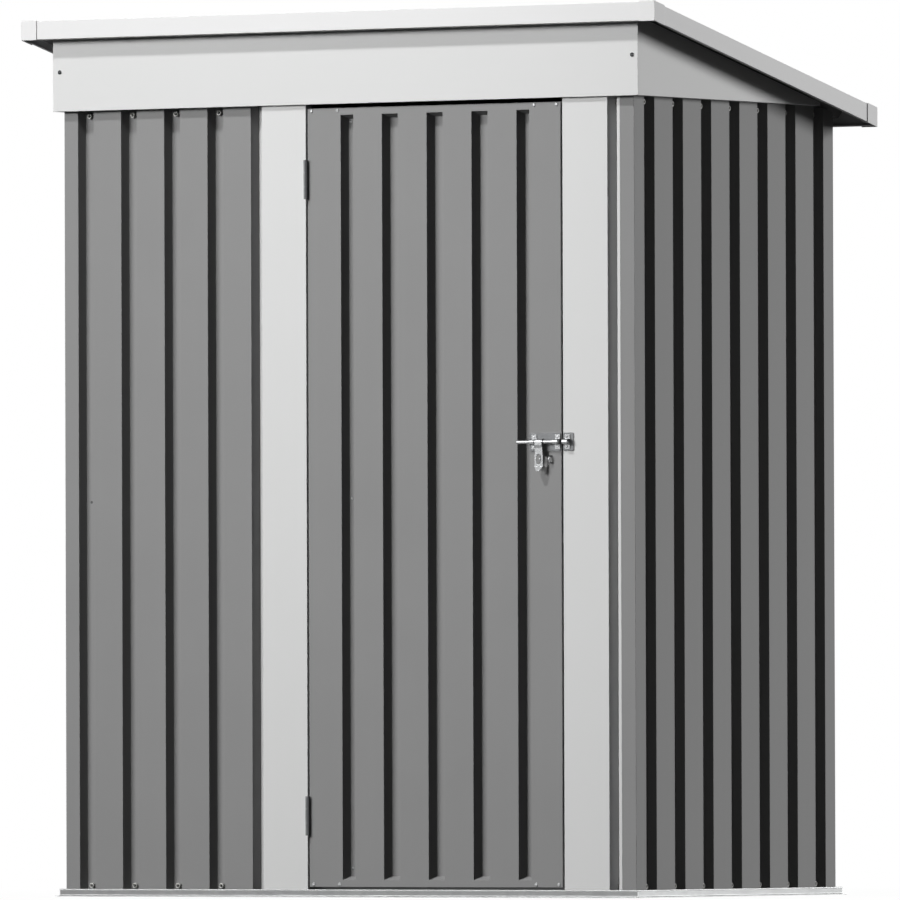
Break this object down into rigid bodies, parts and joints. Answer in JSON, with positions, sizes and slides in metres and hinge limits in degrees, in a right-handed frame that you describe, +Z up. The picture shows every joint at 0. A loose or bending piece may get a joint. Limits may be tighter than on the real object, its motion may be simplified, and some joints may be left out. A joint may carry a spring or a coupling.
{
  "type": "metal storage shed",
  "caption": "Narrow metal storage shed with a sloping ribbed roof, ribbed sheet walls, a hinged door, and a sliding bolt with a hasp.",
  "frame": {"origin": "middle of the footprint of the whole shed with its roof, on the ground", "axes": "+X to the right when facing the door, +Y from the door to the back wall, +Z up"},
  "size_m": [1.568, 0.859, 1.8261],
  "materials": {
    "wall_gray": "satin gray paint on steel sheet",
    "trim_white": "satin off-white paint on steel sheet",
    "frame_zinc": "dull zinc-coated steel",
    "hardware_zinc": "bright zinc plate"
  },
  "bodies": {
    "shed": {"front_panel": "wall_gray", "side_panel_left": "wall_gray", "side_panel_right": "wall_gray", "back_panel_right": "wall_gray", "back_panel_middle": "wall_gray", "back_panel_left": "wall_gray", "corner_post_front_left": "wall_gray", "corner_post_front_right": "wall_gray", "corner_post_back_right": "wall_gray", "corner_post_back_left": "wall_gray", "front_strip_left": "trim_white", "front_strip_right": "trim_white", "base_rail_front": "frame_zinc", "base_rail_right": "frame_zinc", "base_rail_back": "frame_zinc", "base_rail_left": "frame_zinc", "top_rail_front": "frame_zinc", "top_rail_right": "frame_zinc", "top_rail_back": "frame_zinc", "top_rail_left": "frame_zinc", "front_fascia": "trim_white", "gable_left": "trim_white", "gable_right": "trim_white", "roof_panel_left": "wall_gray", "roof_panel_middle": "wall_gray", "roof_panel_right": "wall_gray", "roof_trim_front": "trim_white", "roof_trim_back": "trim_white", "roof_trim_left": "trim_white", "roof_trim_right": "trim_white", "roof_corner_caps": "trim_white", "hinge_jamb_leaves": "frame_zinc", "keeper_plate": "hardware_zinc", "keeper_loop": "hardware_zinc"},
    "door": {"door_leaf": "wall_gray", "door_stile_left": "frame_zinc", "door_stile_right": "frame_zinc", "door_rail_bottom": "frame_zinc", "door_rail_top": "frame_zinc", "hinge_door_leaves": "frame_zinc", "bolt_plate": "hardware_zinc", "bolt_guides": "hardware_zinc", "bolt_staples": "hardware_zinc"},
    "bolt": {"bolt_bar": "hardware_zinc"},
    "hasp": {"hasp": "hardware_zinc"}
  },
  "joints": [
    {"name": "door_swing", "type": "hinge", "parent": "shed", "child": "door", "pos_m": [-0.09305, -0.3971, 0.8275], "axis": [0, 0, -1], "range_deg": [0, 110]},
    {"name": "bolt_slide", "type": "slide", "parent": "door", "child": "bolt", "axis": [1, 0, 0], "range_m": [0, 0.022]},
    {"name": "hasp_turn", "type": "hinge", "parent": "bolt", "child": "hasp", "pos_m": [0.48335, -0.4015, 0.932], "axis": [-1, 0, 0], "range_deg": [0, 100]}
  ]
}
